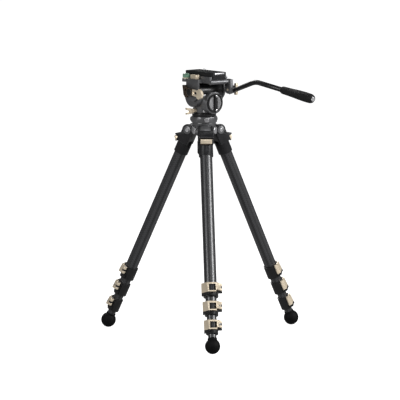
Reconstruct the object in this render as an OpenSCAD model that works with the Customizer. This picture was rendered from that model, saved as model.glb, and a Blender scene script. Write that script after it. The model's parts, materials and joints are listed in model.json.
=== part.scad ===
// Video tripod: three carbon legs of four telescoping tubes with lever locks and rubber ball feet,
// a half-ball levelling base with a hanging handle, and a fluid head with a pan bar.
// Millimetres. Z is up, the floor is z = 0, and the origin is under the middle of the footprint.

/* [Stance] */
// Radius of the circle through the centres of the three feet
foot_circle_r = 255; // [240:1:280]
// Lean of each leg from the vertical, in degrees
leg_lean = 25; // [23:0.5:27]
// Radius from the centre line to each leg hinge
pivot_r = 35.4; // [35.2:0.1:38]

/* [Legs] */
// Outside diameter of the top tube
tube_d = 29; // [28.6:0.1:29.4]
// Difference in diameter from one tube to the next
tube_step = 3.2; // [3:0.1:3.4]
// Wall of each carbon tube
tube_wall = 1.2; // [1:0.1:1.3]
// Distance along the leg from the hinge to the first lock
first_lock = 387.5; // [370:0.5:400]
// Distance from one lock to the next
lock_pitch = 44.3; // [42:0.1:46]
// Travel of each tube out of the one above
section_travel = 285; // [200:5:285]
// Height of each lock collar
lock_h = 31; // [30:0.5:32]
// Height of each lock lever
lever_h = 23; // [22:0.5:24]
// Diameter of the rubber foot ball
foot_d = 36; // [32:1:38]

/* [Shoulder] */
// Radius of the round head of the shoulder fork
fork_r = 14; // [13.8:0.1:14.2]
// Width across the two cheeks of the fork
fork_w = 34.4; // [34:0.2:35]
// Width of the tongue between the cheeks
tongue_w = 25.4; // [24:0.2:25.4]
// Diameter of the sleeve that holds the top tube
sleeve_d = 34; // [33:0.5:35]
// Travel of the angle latch when it is pulled out
latch_travel = 5; // [3:0.5:6]

/* [Levelling base] */
// Outside diameter of the bowl
bowl_d = 61; // [60:0.5:62]
// Radius of the half ball
ball_r = 28.5; // [28.4:0.1:28.6]
// Diameter of the hanging handle
handle_d = 32; // [28:1:32]
// Length of the hanging handle
handle_h = 35; // [30:1:36]

/* [Fluid head] */
// Bearing of the pan bar, in degrees from the X axis
head_bearing = -54.3; // [-60:0.1:-50]
// Diameter of the pan base
pan_d = 52; // [50:1:52]
// Height of the tilt axis above the top of the half ball
tilt_axis_h = 52.5; // [52:0.5:54]
// Radius of the round tilt arms
arm_r = 22; // [20:0.5:22]
// Width across the body between the tilt arms
body_w = 74; // [74:0.5:76]
// Diameter of the counterbalance dial
dial_d = 45; // [40:1:45]

/* [Camera platform] */
// Length of the camera plate
plate_l = 100; // [90:1:110]
// Width of the camera plate
plate_w = 40; // [39:0.5:40]
// Thickness of the plate above its rails
plate_t = 9.4; // [8:0.2:10]
// Width of the platform
deck_w = 55; // [54:1:56]

/* [Pan bar] */
// Diameter of the pan bar
bar_d = 9.5; // [9:0.1:10]
// Largest diameter of the grip
grip_d = 23; // [20:1:24]
// Length of the grip
grip_l = 107; // [95:1:110]

/* [Hidden] */
$fn = 64;
legs = ["front", "left", "right"];
leg_bearing = [-90, 150, 30];
leg_parts = [
    "shoulder", "latch", "foot",
    "tube_1", "tube_2", "tube_3", "tube_4",
    "lock_collar_1", "lock_collar_2", "lock_collar_3",
    "lock_lever_1", "lock_lever_2", "lock_lever_3"
];
top_parts = [
    "apex_casting", "pivot_pins", "bowl_housing", "level_liner", "levelling_ball",
    "level_rod", "levelling_handle", "pan_base", "head_body", "pan_lock_lever",
    "tilt_drum", "balance_dial", "tilt_platform", "tilt_lock_lever", "plate_clamp_lever",
    "camera_plate", "camera_screw", "bubble_level", "pan_bar", "pan_grip", "bar_clamp_knob"
];

// Clearances: a free gap between bodies, a sliding fit and a running fit on a pin
gap = 0.4;
slide_fit = 0.1;
pin_fit = 0.05;
// Overlap that makes two shapes of one piece join
joined = 0.5;

// The tripod's own centre line stands behind the middle of its footprint
axis_y = foot_circle_r / 4;
leg_l = (foot_circle_r - pivot_r) / sin(leg_lean);
pivot_z = foot_d / 2 + leg_l * cos(leg_lean);

// Legs
function tube_r(k) = tube_d / 2 - (k - 1) * tube_step / 2;
function lock_at(k) = first_lock + (k - 1) * lock_pitch;
function tube_top(k) = k == 1 ? 36 : tube_end(k - 1) - section_travel - tube_overlap;
function tube_end(k) = k == 4 ? leg_l - 8 : lock_at(k) + 4;
function collar_r(k) = tube_r(k) + 3;
function lever_pin(k) = [5, collar_r(k) + 4.6];
tube_overlap = 64.5;
slit_w = 1.5;
ear_z = [-7, 4];
ear_h = [4.6, 4];
lever_top = 16;
lever_tip_h = 6;
lever_thin = 1.2;
lever_flare = 8.5;
lever_pin_r = 2;
lever_knuckle_r = 4.2;
lever_arm_z = -2;
lever_window = [-5.5, 10.5, -4, 12];
foot_neck_r = tube_r(4) + 1.4;
foot_neck_top = 19;
foot_socket = leg_l - tube_end(4);

// Shoulder
pin_r = 4;
pin_head_r = 9.4;
pin_head_t = 2.2;
cheek_in = tongue_w / 2 + gap;
tongue_r = fork_r - 1.5;
sleeve_top = 31;
sleeve_end = 61;
slot_top = 26;
latch_w = 16;
latch_t = 3.6;
tab_w = 27;

// Apex
hub_r = 27;
hub_drop = 1.5;
flange_r = 28;
flange_z = pivot_z + 14;
flange_h = 6;
hub_hole_r = 24.5;
hub_hole_top = flange_z + 2;
boss_r = 9.3;
bowl_z = flange_z + flange_h;
bowl_h = 13;
ball_z = bowl_z + bowl_h + 7;
liner_t = 0.75;
liner_rim = 7.5;
seat_r = ball_r + liner_t + 0.25;
bowl_out_r = seat_r + 3.5;
ball_cut = 25;
rod_r = 4;
dish_r = bowl_out_r + 0.3;
dish_t = 2.7;
dish_edge_r = 15.2;
handle_z = pivot_z - 58.5;

// Fluid head, with X towards the pan bar and Y along the tilt axis
head_z = ball_z + 0.5;
pan_base_h = 3;
spigot_r = 14;
skirt_top = 16;
tilt_x = 6;
tilt_z = head_z + tilt_axis_h;
drum_r = 20.4;
spindle_r = 8;
side_r = 26;
side_z = head_z + 42.5;
side_top = tilt_z - 5.5;
dial_z = head_z + 26.5;
dial_house_r = 25.5;
dial_face_x = 38;
arm_t = 4.7;
arm_in = body_w / 2 + gap;
arm_out = arm_in + arm_t;
deck_z = tilt_z + 22;
deck_t = 8;
deck_front = -45;
deck_back = 52;
rail_z = deck_z + deck_t;
rail_h = 7.2;
rail_undercut = 2.8;
plate_z = rail_z + rail_h + gap;
plate_mid = 6;
plate_top = plate_z + plate_t;
screw_r = 3.175;
screw_l = 5.5;
screw_head_z = rail_z + 1;
screw_x = 2;
nose_r = 5.5;
level_pod = [-28, -31];
pod_r = 9;
pod_h = 13;
clamp_pin = [14, -33];
clamp_h = 9.6;
clamp_l = 22;
lock_tilt = -8;
rosette_x = 54;
rosette_z = tilt_z + 5;
rosette_r = 9.5;
bracket_in = 26;
bracket_out = 35.7;
bar_in = bracket_out + gap;
bar_y = bar_in + 5;
bar_hub_out = bar_in + 10;
// Bends of the pan bar as X and Z in the head's frame
bar_tail = [43, tilt_z - 3.5];
bar_bend = [136, tilt_z + 29];
bar_grip = [231, tilt_z + 17];
bar_slope = atan2(bar_bend[1] - bar_grip[1], bar_grip[0] - bar_bend[0]);

graphite = [0.33, 0.34, 0.36];
black = [0.06, 0.06, 0.065];
bronze = [0.72, 0.64, 0.53];
carbon = [0.2, 0.2, 0.21];
rubber = [0.09, 0.09, 0.09];
steel = [0.7, 0.7, 0.72];

// ---------------------------------------------------------------- placing

// Moves a shape to the tripod's centre line
module at_axis() {
    translate([0, axis_y, 0]) children();
}

// Leg frame: origin on the hinge, X outwards, Z up along the leg
module at_leg(i) {
    at_axis()
        rotate([0, 0, leg_bearing[i]])
            translate([pivot_r, 0, pivot_z])
                rotate([0, -leg_lean, 0])
                    children();
}

// Head frame: origin on the floor below the centre line, X towards the pan bar
module at_head() {
    at_axis() rotate([0, 0, head_bearing]) children();
}

// Moves a shape from the leg hinge to the middle of lock k
module at_lock(k) {
    translate([0, 0, -lock_at(k)]) children();
}

// A round solid from distance a to distance b down the leg
module leg_rod(a, b, r) {
    translate([0, 0, -b]) cylinder(r = r, h = b - a);
}

// A flat shape drawn in X and Z, as thick as from y = a to y = b
module across(a, b) {
    translate([0, b, 0]) rotate([90, 0, 0]) linear_extrude(b - a) children();
}

// A round bar along Y
module y_bar(x, z, r, a, b) {
    translate([x, a, z]) rotate([-90, 0, 0]) cylinder(r = r, h = b - a);
}

// A round bar along X
module x_bar(y, z, r, a, b) {
    translate([a, y, z]) rotate([0, 90, 0]) cylinder(r = r, h = b - a);
}

// A flat strip with round ends
module stadium(l, w) {
    square([l - w, w], center = true);
    for (side = [-1, 1]) translate([side * (l - w) / 2, 0]) circle(d = w);
}

// ---------------------------------------------------------------- leg pieces

module shoulder() {
    color(graphite) difference() {
        union() {
            across(-fork_w / 2, fork_w / 2) {
                circle(r = fork_r);
                shoulder_side();
            }
            leg_rod(sleeve_top, sleeve_end, sleeve_d / 2);
        }
        across(-cheek_in, cheek_in) {
            circle(r = tongue_r + 1);
            translate([-20, -2]) square([40, 20]);
        }
        y_bar(0, 0, pin_r + pin_fit, -fork_w, fork_w);
        translate([0, 0, -slot_top - latch_t / 2])
            cube([60, latch_w + gap, latch_t + gap], center = true);
        leg_rod(tube_top(1), sleeve_end + 1, tube_r(1) + pin_fit);
    }
}

// Side outline of the shoulder block, with the lip that guards the latch
module shoulder_side() {
    polygon([
        [-13.4, -2], [-13.4, -34], [16.6, -34], [16.6, -24.5], [25, -23.5],
        [25, -21], [15.5, -18], [13.4, -12], [13.4, -2]
    ]);
}

// Bronze latch: a flat bolt in the slot with a thumb tab outside
module latch() {
    color(bronze) {
        translate([-2, -latch_w / 2, -slot_top - latch_t])
            cube([17 + latch_travel, latch_w, latch_t]);
        across(-tab_w / 2, tab_w / 2)
            polygon([[17.4, -26.4], [26, -27.6], [26, -30], [18.8, -38.5], [17.4, -38.5]]);
    }
}

module tube(k) {
    color(carbon) difference() {
        leg_rod(tube_top(k), tube_end(k), tube_r(k));
        leg_rod(tube_top(k) - 1, tube_end(k) + 1, tube_r(k) - tube_wall);
    }
}

// Split collar with two ears and the pin that the lever turns on
module lock_collar(k) {
    color(black) at_lock(k) {
        difference() {
            union() {
                translate([0, 0, -lock_h / 2]) cylinder(r = collar_r(k), h = lock_h);
                for (e = [0, 1]) translate([0, 0, ear_z[e]]) linear_extrude(ear_h[e]) ear(k, 0);
            }
            translate([0, 0, -4]) cylinder(r = tube_r(k) + pin_fit, h = lock_h);
            translate([0, 0, -lock_h]) cylinder(r = tube_r(k + 1) + slide_fit, h = 2 * lock_h);
            translate([-2.5 * slit_w, 0, -lock_h]) cube([slit_w, 2 * collar_r(k), 2 * lock_h]);
        }
        translate([lever_pin(k)[0], lever_pin(k)[1], ear_z[0] + joined])
            cylinder(r = lever_pin_r, h = lever_top - ear_z[0] - joined);
    }
}

// Outline of a collar ear, grown by a margin
module ear(k, margin) {
    pin = lever_pin(k);
    half = lever_knuckle_r - 0.2 + margin;
    translate(pin) circle(r = lever_knuckle_r + margin);
    translate([pin[0] - half, 8]) square([2 * half, pin[1] - 8]);
}

// Bronze lever that wraps the outward side of the collar
module lock_lever(k) {
    r = collar_r(k);
    pin = lever_pin(k);
    color(bronze) at_lock(k) difference() {
        union() {
            translate([0, 0, lever_top - lever_h]) linear_extrude(lever_h) lever_band(k);
            translate([0, 0, lever_top - lever_h - lever_tip_h])
                linear_extrude(lever_h) intersection() {
                    lever_band(k);
                    translate([-5, -2 * r]) square([3 * r, 2 * r - 6]);
                }
            translate([0, 0, lever_arm_z]) linear_extrude(lever_top - joined - lever_arm_z)
                lever_arm(k);
        }
        translate([0, 0, -lock_h]) cylinder(r = r + gap, h = 2 * lock_h);
        translate([r + lever_thin, 0, lever_top]) rotate([0, -lever_flare, 0])
            translate([0, -2 * r, -2 * lock_h]) cube([30, 4 * r, 3 * lock_h]);
        translate([r - 8, lever_window[0], lever_window[2]])
            cube([20, lever_window[1] - lever_window[0], lever_window[3] - lever_window[2]]);
        translate([0, 0, ear_z[1] - gap]) linear_extrude(ear_h[1] + 2 * gap) ear(k, gap);
        translate([pin[0], pin[1], -lock_h]) cylinder(r = lever_pin_r + pin_fit, h = 2 * lock_h);
    }
}

// Plan of the lever's full-height part
module lever_band(k) {
    r = collar_r(k);
    polygon([
        [-2, -r - 4], [7, -r - 4.5], [r, -11], [r + 6, -7], [r + 6, 11],
        [r - 2, 11.2], [0, 11.2], [0, -12], [-2, -12]
    ]);
}

// Plan of the arm from the band to the knuckle
module lever_arm(k) {
    r = collar_r(k);
    pin = lever_pin(k);
    translate(pin) circle(r = lever_knuckle_r);
    polygon([
        [r + 6, 11], [pin[0] + 3, pin[1] + 2.5], [pin[0] - 1, pin[1] - 3.5], [r - 6, 11]
    ]);
}

module foot() {
    color(rubber) translate([0, 0, -leg_l]) difference() {
        union() {
            sphere(d = foot_d);
            cylinder(r = foot_neck_r, h = foot_neck_top);
        }
        translate([0, 0, foot_socket]) cylinder(r = tube_r(4) + pin_fit, h = foot_d);
    }
}

// ---------------------------------------------------------------- apex and levelling base

// Spider with three tongues for the legs and three round bosses between them
module apex_casting() {
    color(graphite) at_axis() difference() {
        union() {
            translate([0, 0, flange_z - joined]) cylinder(r = flange_r, h = flange_h + joined);
            translate([0, 0, pivot_z - hub_drop]) cylinder(r = hub_r, h = flange_z - pivot_z + hub_drop);
            for (bearing = leg_bearing) rotate([0, 0, bearing]) tongue();
            for (bearing = leg_bearing) rotate([0, 0, bearing + 60]) x_bar(0, pivot_z + 1, boss_r, 20, 30);
        }
        for (bearing = leg_bearing) rotate([0, 0, bearing]) {
            for (side = [-1, 1]) translate([0, side * (tongue_w / 2 + 5), 0])
                y_bar(pivot_r, pivot_z, fork_r + gap, -5, 5);
            y_bar(pivot_r, pivot_z, pin_r + pin_fit, -fork_w, fork_w);
        }
        translate([0, 0, ball_z]) sphere(r = bowl_out_r + 0.15);
        translate([0, 0, pivot_z - 20]) cylinder(r = hub_hole_r, h = hub_hole_top - pivot_z + 20);
    }
}

// Tongue of one leg hinge: round at the pin, narrower below it
module tongue() {
    intersection() {
        across(-tongue_w / 2, tongue_w / 2) translate([pivot_r, pivot_z]) {
            circle(r = tongue_r);
            intersection() {
                circle(r = tongue_r + 0.6);
                translate([-13, -6.5]) square([13, 18]);
            }
            translate([-pivot_r + hub_hole_r + joined, 0]) square([8, 13]);
        }
        translate([0, 0, pivot_z]) rotate([90, 0, 90]) linear_extrude(60)
            polygon([[-7, -13], [7, -13], [13, 2], [13, 14], [-13, 14], [-13, 2]]);
    }
}

// The three hinge pins, one per leg
module pivot_pins() {
    color(steel) for (i = [0 : 2]) at_axis() rotate([0, 0, leg_bearing[i]]) {
        y_bar(pivot_r, pivot_z, pin_r, -fork_w / 2 - 1, fork_w / 2 + 1);
        y_bar(pivot_r, pivot_z, pin_head_r, fork_w / 2 + 0.3, fork_w / 2 + 0.3 + pin_head_t);
        y_bar(pivot_r, pivot_z, pin_head_r, -fork_w / 2 - 0.3 - pin_head_t, -fork_w / 2 - 0.3);
    }
}

// Bowl with a spherical seat, an outer ring and an oval boss over each leg
module bowl_housing() {
    color(graphite) at_axis() difference() {
        union() {
            translate([0, 0, bowl_z]) cylinder(d = bowl_d, h = bowl_h);
            intersection() {
                translate([0, 0, ball_z]) sphere(r = bowl_out_r);
                translate([0, 0, bowl_z - 20]) cylinder(r = bowl_out_r, h = 20 + joined);
            }
            for (bearing = leg_bearing) rotate([0, 0, bearing])
                translate([bowl_d / 2 - 3, 0, bowl_z + bowl_h / 2]) rotate([90, 0, 90])
                    linear_extrude(4.2) stadium(21, 11);
        }
        translate([0, 0, ball_z]) sphere(r = seat_r);
        translate([0, 0, bowl_z - 30]) cylinder(r = bowl_out_r * sin(22), h = 30);
    }
}

// Thin slip liner between the bowl and the ball
module level_liner() {
    color(black) at_axis() translate([0, 0, ball_z]) difference() {
        sphere(r = ball_r + 0.1 + liner_t);
        sphere(r = ball_r + 0.1);
        translate([0, 0, -liner_rim]) cylinder(r = 40, h = 60);
        translate([0, 0, -40]) cylinder(r = 14, h = 40);
    }
}

module levelling_ball() {
    color(black) at_axis() translate([0, 0, ball_z]) difference() {
        intersection() {
            sphere(r = ball_r);
            translate([0, 0, -ball_cut]) cylinder(r = 40, h = ball_cut + head_z - ball_z);
        }
        translate([0, 0, -ball_cut - 1]) cylinder(r = rod_r, h = 16);
    }
}

// Tie rod under the ball, with the spherical clamp dish that slides on it
module level_rod() {
    color(steel) at_axis() {
        translate([0, 0, handle_z + 6]) cylinder(r = rod_r, h = ball_z - ball_cut + 15 - handle_z - 6);
        translate([0, 0, ball_z]) difference() {
            intersection() {
                sphere(r = dish_r + dish_t);
                translate([0, 0, -60]) cylinder(r = dish_edge_r, h = 40);
            }
            sphere(r = dish_r);
            translate([0, 0, -60]) cylinder(r = rod_r + pin_fit, h = 60);
        }
    }
}

// Hanging handle: a long grip with a slim nose that pushes the clamp dish up
module levelling_handle() {
    nose = ball_z - dish_r - dish_t - gap - handle_z;
    color(black) at_axis() translate([0, 0, handle_z]) difference() {
        rotate_extrude() polygon([
            [0, 0], [handle_d / 2 - 4, 0], [handle_d / 2, 4], [handle_d / 2, handle_h - 3],
            [handle_d / 2 - 3, handle_h], [7.3, handle_h], [7.3, nose], [0, nose]
        ]);
        translate([0, 0, 5]) cylinder(r = rod_r + pin_fit, h = 100);
    }
}

// ---------------------------------------------------------------- fluid head

// Fixed disc and spigot of the pan bearing
module pan_base() {
    color(black) at_head() translate([0, 0, head_z]) {
        cylinder(d = pan_d, h = pan_base_h);
        cylinder(r = spigot_r, h = skirt_top);
    }
}

// Body of the head: pan skirt, side housing under the tilt axis, round housing for the dial
module head_body() {
    skirt_z = head_z + pan_base_h + 0.3;
    color(graphite) at_head() difference() {
        union() {
            translate([0, 0, skirt_z]) cylinder(d = pan_d, h = side_z - skirt_z);
            intersection() {
                y_bar(0, side_z, side_r, -body_w / 2, body_w / 2);
                translate([-50, -50, 0]) cube([100, 100, side_top]);
            }
            x_bar(0, dial_z, dial_house_r, 0, dial_face_x);
        }
        translate([0, 0, head_z]) cylinder(r = spigot_r + pin_fit, h = skirt_top + 0.3);
        translate([0, 0, head_z - 10]) cylinder(d = pan_d + 5, h = pan_base_h + 10.3);
        y_bar(tilt_x, tilt_z, drum_r + pin_fit, -body_w, body_w);
        x_bar(0, dial_z, 4 + pin_fit, dial_face_x - 10, dial_face_x + 1);
        y_bar(0, head_z + 8, 2.5 + pin_fit, -pan_d / 2 - 1, -18);
    }
}

// Lever with a forked wing that clamps the pan bearing, turning on its own screw
module pan_lock_lever() {
    hub = pan_d / 2 + gap;
    z = head_z + 8;
    color(bronze) at_head() {
        y_bar(0, z, 2.5, -hub - joined, -20);
        y_bar(0, z, 5, -hub - 9, -hub);
        translate([-3, 0, z]) rotate([90, 0, 90]) linear_extrude(6) polygon([
            [-hub - 8, -4.5], [-hub - 8, 4.5], [-55, 8], [-55, 3.5], [-45, 0.5],
            [-45, -1.5], [-55, -5], [-55, -8], [-hub - 12, -6.5]
        ]);
    }
}

// Fluid drum of the tilt axis with its spindle
module tilt_drum() {
    color(black) at_head() difference() {
        union() {
            y_bar(tilt_x, tilt_z, drum_r, -body_w / 2, body_w / 2);
            y_bar(tilt_x, tilt_z, spindle_r, -arm_out, arm_out);
        }
        y_bar(tilt_x, tilt_z, 5 + pin_fit, -arm_out - 1, -body_w / 2);
    }
}

// Counterbalance dial with a raised grip bar
module balance_dial() {
    face = dial_face_x + gap;
    color(black) at_head() {
        x_bar(0, dial_z, 4, dial_face_x - 9, face + joined);
        x_bar(0, dial_z, dial_d / 2, face, face + 3.6);
        translate([face + 3, 0, dial_z]) rotate([90, 0, 90]) linear_extrude(4.6)
            rotate(90) stadium(40, 8);
    }
}

// Tilting platform: deck, dovetail rails, two round arms and the bracket for the pan bar
module tilt_platform() {
    half = deck_w / 2;
    color(graphite) at_head() difference() {
        union() {
            translate([deck_front, -half, deck_z]) cube([deck_back - deck_front, deck_w, deck_t]);
            for (side = [-1, 1]) rail(side);
            y_bar(deck_back + 2, rail_z - nose_r, nose_r, -half, half);
            translate([tilt_x - arm_r, -arm_out, deck_z])
                cube([2 * arm_r, 2 * arm_out, deck_t]);
            for (a = [-arm_out, arm_in]) across(a, a + arm_t) {
                translate([tilt_x, tilt_z]) circle(r = arm_r);
                translate([tilt_x - arm_r + 0.4, tilt_z]) square([2 * arm_r - 0.8, 23]);
            }
            translate([level_pod[0], level_pod[1], deck_z]) cylinder(r = pod_r + 1, h = deck_t - 1);
            bar_bracket();
        }
        y_bar(tilt_x, tilt_z, spindle_r + pin_fit, -arm_out - 1, arm_out + 1);
        translate([level_pod[0], level_pod[1], deck_z + deck_t - 1]) cylinder(r = pod_r + 0.6, h = 30);
        y_bar(rosette_x, rosette_z, 3 + pin_fit, 0, bracket_out + 1);
        translate([clamp_pin[0], clamp_pin[1], deck_z + 1]) cylinder(r = 2.5 + pin_fit, h = 30);
    }
}

// One dovetail rail along the deck, on the side of the given sign
module rail(side) {
    inner = plate_w / 2 + 0.6;
    outer = deck_w / 2;
    translate([deck_front, 0, 0]) rotate([90, 0, 90]) linear_extrude(deck_back - deck_front) polygon([
        [side * inner, rail_z - joined], [side * outer, rail_z - joined],
        [side * outer, rail_z + rail_h], [side * (inner - rail_undercut), rail_z + rail_h],
        [side * inner, rail_z]
    ]);
}

// Bracket that carries the rosette of the pan bar
module bar_bracket() {
    across(bracket_in, bracket_out) {
        translate([rosette_x, rosette_z]) circle(r = rosette_r);
        translate([rosette_x - rosette_r + 0.3, rosette_z])
            square([2 * rosette_r - 0.6, deck_z + deck_t - rosette_z]);
    }
}

// Two-winged lever on the tilt axis: an upright paddle on each side of the hub, joined by open bars
module tilt_lock_lever() {
    a = arm_out + gap;
    color(bronze) at_head() {
        y_bar(tilt_x, tilt_z, 5, -a - joined, -body_w / 2 - 1);
        y_bar(tilt_x, tilt_z, 9, -a - 9.5, -a);
        across(-a - 8.5, -a - 3) translate([tilt_x, tilt_z]) rotate(lock_tilt) difference() {
            union() {
                polygon([
                    [-27, 12], [-19, 13.5], [-14, 9], [26, 9], [32, 14], [40, 12], [47, 5],
                    [44, -4], [35, -10], [29, -8], [26, -5], [-6, -6], [-8, -14], [-13, -15.5], [-20, -9]
                ]);
                circle(r = 9);
            }
            translate([20, 2]) stadium(14, 7.5);
            translate([-14.5, 3]) stadium(7, 5);
        }
    }
}

// Lever beside the deck that clamps the camera plate
module plate_clamp_lever() {
    color(bronze) at_head() translate([clamp_pin[0], clamp_pin[1], rail_z + gap]) {
        cylinder(r = 5.2, h = clamp_h);
        translate([0, 0, -deck_t + 2]) cylinder(r = 2.5, h = deck_t);
        translate([-clamp_l, -2.5, 0]) cube([clamp_l, 6, clamp_h]);
    }
}

// Dovetail plate that carries the camera, with a slot for its screw and a small locating pin
module camera_plate() {
    half = plate_w / 2;
    front = plate_mid - plate_l / 2;
    color(black) at_head() difference() {
        union() {
            translate([front, 0, 0]) rotate([90, 0, 90]) linear_extrude(plate_l) polygon([
                [-half, rail_z + gap], [half, rail_z + gap], [half - rail_undercut, plate_z],
                [half, plate_z], [half, plate_top], [-half, plate_top],
                [-half, plate_z], [-half + rail_undercut, plate_z]
            ]);
            translate([screw_x + 20, 0, plate_top - 1]) cylinder(r = 2, h = 4.2);
        }
        translate([screw_x, 0, rail_z]) linear_extrude(40) stadium(24, 2 * screw_r + 0.25);
        translate([screw_x, 0, rail_z]) linear_extrude(8) stadium(38, 18);
    }
}

// Captive camera screw: head, neck and thread
module camera_screw() {
    color(steel) at_head() translate([screw_x, 0, 0]) {
        translate([0, 0, screw_head_z]) cylinder(r = 7.5, h = 5);
        translate([0, 0, screw_head_z]) cylinder(r = 2.9, h = plate_top + 0.5 - screw_head_z);
        translate([0, 0, plate_top + 0.2]) cylinder(r = screw_r, h = screw_l);
    }
}

// Bubble level in its pod
module bubble_level() {
    color([0.45, 0.8, 0.6]) at_head()
        translate([level_pod[0], level_pod[1], deck_z + deck_t - 1]) cylinder(r = pod_r, h = pod_h);
}

// A straight length of the pan bar between two X and Z points
module bar_run(from, to) {
    run = to - from;
    translate([from[0], bar_y, from[1]]) rotate([0, atan2(run[0], run[1]), 0])
        cylinder(d = bar_d, h = norm(run));
}

module pan_bar() {
    color(black) at_head() difference() {
        union() {
            y_bar(rosette_x, rosette_z, rosette_r - joined, bar_in, bar_hub_out);
            bar_run(bar_tail, bar_bend);
            translate([bar_bend[0], bar_y, bar_bend[1]]) sphere(d = bar_d + 0.4);
            bar_run(bar_bend, bar_grip + 60 * [cos(bar_slope), -sin(bar_slope)]);
        }
        y_bar(rosette_x, rosette_z, 3 + pin_fit, 0, 80);
    }
}

// Soft grip, slim at the start and domed at the end
module pan_grip() {
    r = grip_d / 2;
    color(rubber) at_head() translate([bar_grip[0], bar_y, bar_grip[1]])
        rotate([0, 90 + bar_slope, 0]) difference() {
            rotate_extrude() polygon([
                [0, 0], [6.5, 0], [7.5, 2], [8.2, 14], [9.6, 34], [r - 0.6, 58], [r, 80],
                [r - 0.3, grip_l - 8], [r - 2.5, grip_l - 3], [r - 5.5, grip_l], [0, grip_l]
            ]);
            translate([0, 0, -1]) cylinder(d = bar_d + 2 * pin_fit, h = 61);
        }
}

// Winged knob whose screw clamps the pan bar to its rosette
module bar_clamp_knob() {
    a = bar_hub_out + gap;
    color(bronze) at_head() {
        y_bar(rosette_x, rosette_z, 3, bracket_in + 1, a + joined);
        y_bar(rosette_x, rosette_z, 6.5, a, a + 9);
        across(a + 3, a + 9) translate([rosette_x, rosette_z]) rotate(90) stadium(28, 7);
    }
}

// ---------------------------------------------------------------- nodes

apex_casting();
pivot_pins();
bowl_housing();
level_liner();
levelling_ball();
level_rod();
levelling_handle();
pan_base();
head_body();
pan_lock_lever();
tilt_drum();
balance_dial();
tilt_platform();
tilt_lock_lever();
plate_clamp_lever();
camera_plate();
camera_screw();
bubble_level();
pan_bar();
pan_grip();
bar_clamp_knob();
for (i = [0 : 2]) {
    at_leg(i) shoulder();
    at_leg(i) latch();
    at_leg(i) foot();
    for (k = [1 : 4])
        at_leg(i) tube(k);
    for (k = [1 : 3]) {
        at_leg(i) lock_collar(k);
        at_leg(i) lock_lever(k);
    }
}
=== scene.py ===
# %% [markdown]
# # A video tripod, cell by cell
# The frame below is the engineering model: every node is already in its place, in metres. The lesson
# keeps those places and gives each piece the soft edges, the small fittings and the finish that the
# real one has.

# %% Load the frame
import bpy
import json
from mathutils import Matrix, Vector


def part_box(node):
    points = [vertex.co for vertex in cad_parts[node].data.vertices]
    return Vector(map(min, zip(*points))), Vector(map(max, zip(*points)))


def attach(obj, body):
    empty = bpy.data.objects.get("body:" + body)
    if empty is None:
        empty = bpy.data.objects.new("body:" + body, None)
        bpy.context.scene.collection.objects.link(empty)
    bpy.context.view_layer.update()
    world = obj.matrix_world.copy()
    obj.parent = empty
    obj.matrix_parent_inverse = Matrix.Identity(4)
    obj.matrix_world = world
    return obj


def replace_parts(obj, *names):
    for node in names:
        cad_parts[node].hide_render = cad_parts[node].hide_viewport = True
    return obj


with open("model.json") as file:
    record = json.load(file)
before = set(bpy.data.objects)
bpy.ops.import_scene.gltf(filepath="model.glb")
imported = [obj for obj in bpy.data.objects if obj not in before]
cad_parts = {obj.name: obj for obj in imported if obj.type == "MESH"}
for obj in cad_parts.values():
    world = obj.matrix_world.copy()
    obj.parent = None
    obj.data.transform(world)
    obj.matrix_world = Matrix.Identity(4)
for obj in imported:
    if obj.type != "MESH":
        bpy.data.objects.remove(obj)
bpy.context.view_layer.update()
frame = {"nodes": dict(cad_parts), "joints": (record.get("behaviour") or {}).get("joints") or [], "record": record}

import json
import math
import bmesh
import bpy
import numpy as np
from mathutils import Matrix, Vector

NODE_BODY = {n: b for b, ns in frame["record"]["behaviour"]["bodies"].items() for n in ns}
JOINT = {j["name"]: j for j in frame["joints"]}
LEGS = ("front", "left", "right")
MM = 0.001

# %% [markdown]
# ## The camera
# Product pictures of tall things are taken from far away with a long lens, so that the legs stay
# straight. The camera stands almost eight metres off and looks slightly down. The standard view
# transform shows a floor of brightness 1 as pure white, so no glare eats into the thin outlines.

# %% Camera
camera_data = bpy.data.cameras.new("camera")
camera_data.sensor_width = 36
camera_data.lens = 294.26
camera_data.clip_end = 100
camera = bpy.data.objects.new("camera", camera_data)
camera.location = (-0.5888, -7.5636, 1.3533)
camera.rotation_euler = (math.radians(90 - 7.672), 0, math.radians(-4.342))
bpy.context.scene.collection.objects.link(camera)
bpy.context.scene.camera = camera
bpy.context.scene.view_settings.view_transform = "Standard"
print("camera at", tuple(camera.location), bpy.context.scene.view_settings.view_transform)

# %% [markdown]
# ## Floor and light
# A studio sweep is a pale floor under a big soft sky. One large lamp on the right gives the long
# streaks on the tubes, a weaker one on the left keeps the shadow side readable, one high in front
# lights the head, and a small one from behind draws the rim of the black pieces.

# %% Floor, sky and lamps
FLOOR_SIZE = 60.0
FLOOR_GLOW = 1.0
SKY = 0.16


def sum_of(tree, operation, *terms, clamp=False):
    """A Math node with that operation; each term is a number or a socket. Returns its output."""
    node = tree.nodes.new("ShaderNodeMath")
    node.operation = operation
    node.use_clamp = clamp
    for k, term in enumerate(terms):
        if isinstance(term, (int, float)):
            node.inputs[k].default_value = term
        else:
            tree.links.new(term, node.inputs[k])
    return node.outputs[0]


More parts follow.
